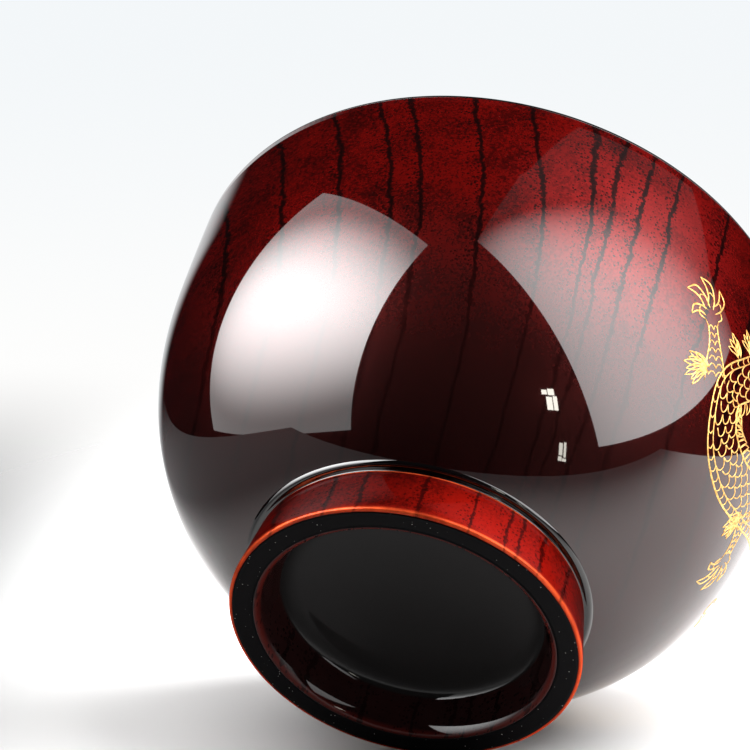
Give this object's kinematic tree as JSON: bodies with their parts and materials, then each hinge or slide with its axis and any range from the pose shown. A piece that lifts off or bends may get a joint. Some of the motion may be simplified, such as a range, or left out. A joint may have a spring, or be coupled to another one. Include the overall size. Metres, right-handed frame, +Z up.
{
  "type": "rice bowl",
  "caption": "Turned wooden rice bowl with a ring foot, in see-through red lacquer over black, with gold line work on one side.",
  "frame": {"origin": "centre of the standing face of the foot ring, which is the bottom of the bowl", "axes": "+Z up along the turning axis towards the mouth, -Y towards the side with the straight grain, the gold line work on the +X side"},
  "size_m": [0.115, 0.115, 0.0786],
  "materials": {
    "wood": "ring-porous wood, sealed under the lacquer",
    "red_lacquer": "high gloss see-through dark red lacquer with the wood grain showing",
    "black_lacquer": "high gloss black lacquer",
    "sole_black": "semi-gloss black lacquer with handling dust",
    "gold": "gold line work"
  },
  "bodies": {
    "root": {"wood_body": "wood", "outer_lacquer": "red_lacquer", "foot_lacquer": "red_lacquer", "inner_lacquer": "black_lacquer", "groove_lacquer": "black_lacquer", "sole_lacquer": "sole_black", "recess_lacquer": "black_lacquer", "gold_serpent": "gold"}
  },
  "joints": []
}
